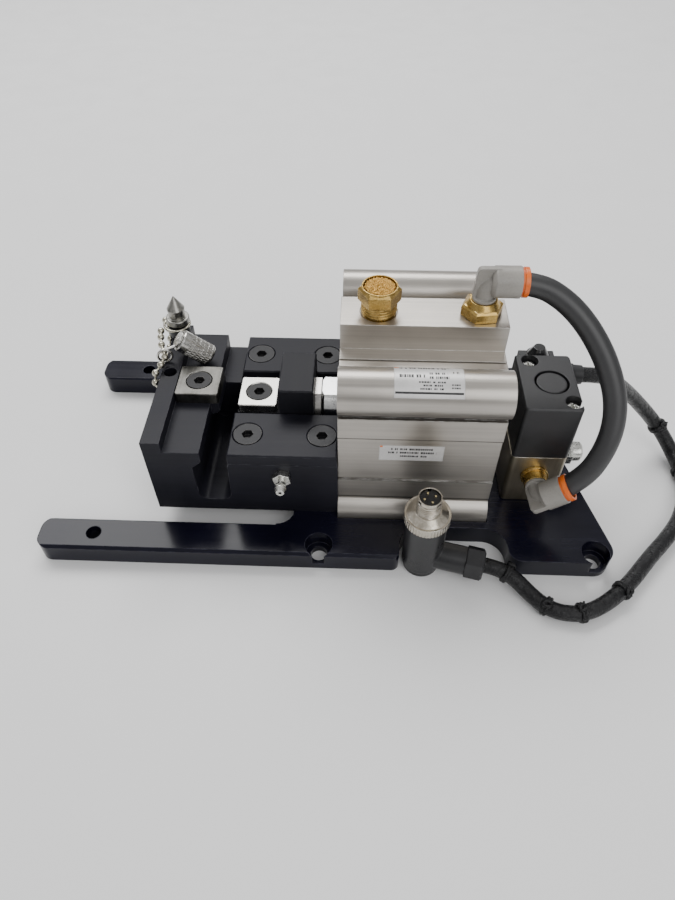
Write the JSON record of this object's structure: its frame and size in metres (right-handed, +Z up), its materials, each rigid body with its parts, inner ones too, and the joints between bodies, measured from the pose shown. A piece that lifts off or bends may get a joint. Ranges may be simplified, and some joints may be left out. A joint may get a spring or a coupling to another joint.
{
  "type": "pneumatic gripper",
  "caption": "Pneumatic clamping gripper: forked base plate, fixed and sliding jaw pads, square compact cylinder, solenoid valve, air hose and plug-in cable.",
  "frame": {"origin": "on the underside of the base plate, midway between the two mounting holes beside the cylinder's left end", "axes": "+X along the piston rod from the jaws towards the valve, +Y towards the side away from the cable connector, +Z up"},
  "size_m": [0.2754, 0.1369, 0.1034],
  "materials": {
    "black_anodised": "hard black anodised, satin",
    "black_oxide_steel": "black oxide",
    "ground_steel": "ground and deburred",
    "hard_chrome": "hard chrome plate",
    "clear_anodised": "clear anodised, extruded",
    "valve_casting": "satin cast and machined",
    "bronze_bush": "sintered bronze",
    "rubber_seal": "moulded nitrile rubber",
    "magnet": "bonded ferrite",
    "ptfe": "filled plastic strip",
    "plated_steel": "bright zinc plate",
    "brass": "turned brass with dried sealant on the threads",
    "sintered_bronze": "open sintered grain",
    "smoked_plastic": "smoked clear resin",
    "grey_plastic": "moulded light grey resin",
    "orange_plastic": "moulded orange resin",
    "black_plastic": "moulded black resin",
    "copper_wire": "enamelled copper wire",
    "black_hose": "matte extruded tube",
    "black_sleeving": "glossy wrapped sleeving",
    "nickel": "nickel plated and knurled",
    "gold_pins": "gold flashed",
    "nickel_small": "nickel plated"
  },
  "bodies": {
    "frame": {"air_hose": "black_hose", "back_cover_plate": "black_anodised", "ball_chain": "nickel_small", "base_plate": "black_anodised", "body_gasket": "rubber_seal", "cable_gland": "black_plastic", "cable_ties": "black_sleeving", "cap_screws": "plated_steel", "cap_tab": "nickel_small", "clamp_body": "black_anodised", "coil_bobbin": "black_plastic", "coil_cap": "black_plastic", "coil_winding": "copper_wire", "connector_housing": "black_plastic", "connector_insert": "black_plastic", "connector_nut": "black_plastic", "connector_pins": "gold_pins", "cover_screws": "black_oxide_steel", "cylinder_screws": "black_oxide_steel", "cylinder_tube": "clear_anodised", "exhaust_plug": "plated_steel", "fixed_pad": "ground_steel", "fixed_pad_screw": "black_oxide_steel", "front_cover_plate": "black_anodised", "grease_nipple": "plated_steel", "head_cover": "clear_anodised", "indicator_lens": "smoked_plastic", "locating_pin": "ground_steel", "lower_elbow_body": "grey_plastic", "lower_elbow_stud": "brass", "pin_chain_ring": "nickel_small", "pin_socket": "black_oxide_steel", "plate_screws": "black_oxide_steel", "retaining_rings": "black_oxide_steel", "rod_bush": "bronze_bush", "rod_cover": "clear_anodised", "rod_seal": "rubber_seal", "silencer_body": "brass", "silencer_element": "sintered_bronze", "terminal_box": "black_plastic", "upper_elbow_body": "grey_plastic", "upper_elbow_stud": "brass", "valve_body": "valve_casting", "valve_cable": "black_sleeving"},
    "slide": {"slide_block": "black_anodised", "moving_pad": "ground_steel", "moving_pad_screw": "black_oxide_steel", "rod_stud": "black_oxide_steel", "rod_jam_nut": "ground_steel", "piston_rod": "hard_chrome", "piston": "clear_anodised", "piston_seal": "rubber_seal", "piston_magnet": "magnet", "wear_ring": "ptfe", "piston_nut": "plated_steel"},
    "upper_ring": {"upper_release_ring": "orange_plastic"},
    "lower_ring": {"lower_release_ring": "orange_plastic"},
    "coupling": {"coupling_ring": "nickel"},
    "override": {"valve_plunger": "black_plastic"},
    "cap": {"dust_cap": "nickel_small"}
  },
  "joints": [
    {"name": "jaw_slide", "type": "slide", "parent": "frame", "child": "slide", "axis": [1, 0, 0], "range_m": [-0.007, 0]},
    {"name": "upper_ring_press", "type": "slide", "parent": "frame", "child": "upper_ring", "axis": [-1, 0, 0], "range_m": [0, 0.0008], "stiffness_N_per_m": 500},
    {"name": "lower_ring_press", "type": "slide", "parent": "frame", "child": "lower_ring", "axis": [-0.788, 0, -0.6157], "range_m": [0, 0.0008], "stiffness_N_per_m": 500},
    {"name": "coupling_spin", "type": "hinge", "parent": "frame", "child": "coupling", "pos_m": [0.041, -0.0525, 0.033], "axis": [0, 0, 1], "continuous": true},
    {"name": "override_press", "type": "slide", "parent": "frame", "child": "override", "axis": [0, 0, -1], "range_m": [0, 0.0015], "stiffness_N_per_m": 1500},
    {"name": "cap_spin", "type": "hinge", "parent": "frame", "child": "cap", "pos_m": [-0.0603, 0.015, 0.057], "axis": [0.7464, 0.1116, -0.6561], "continuous": true}
  ]
}
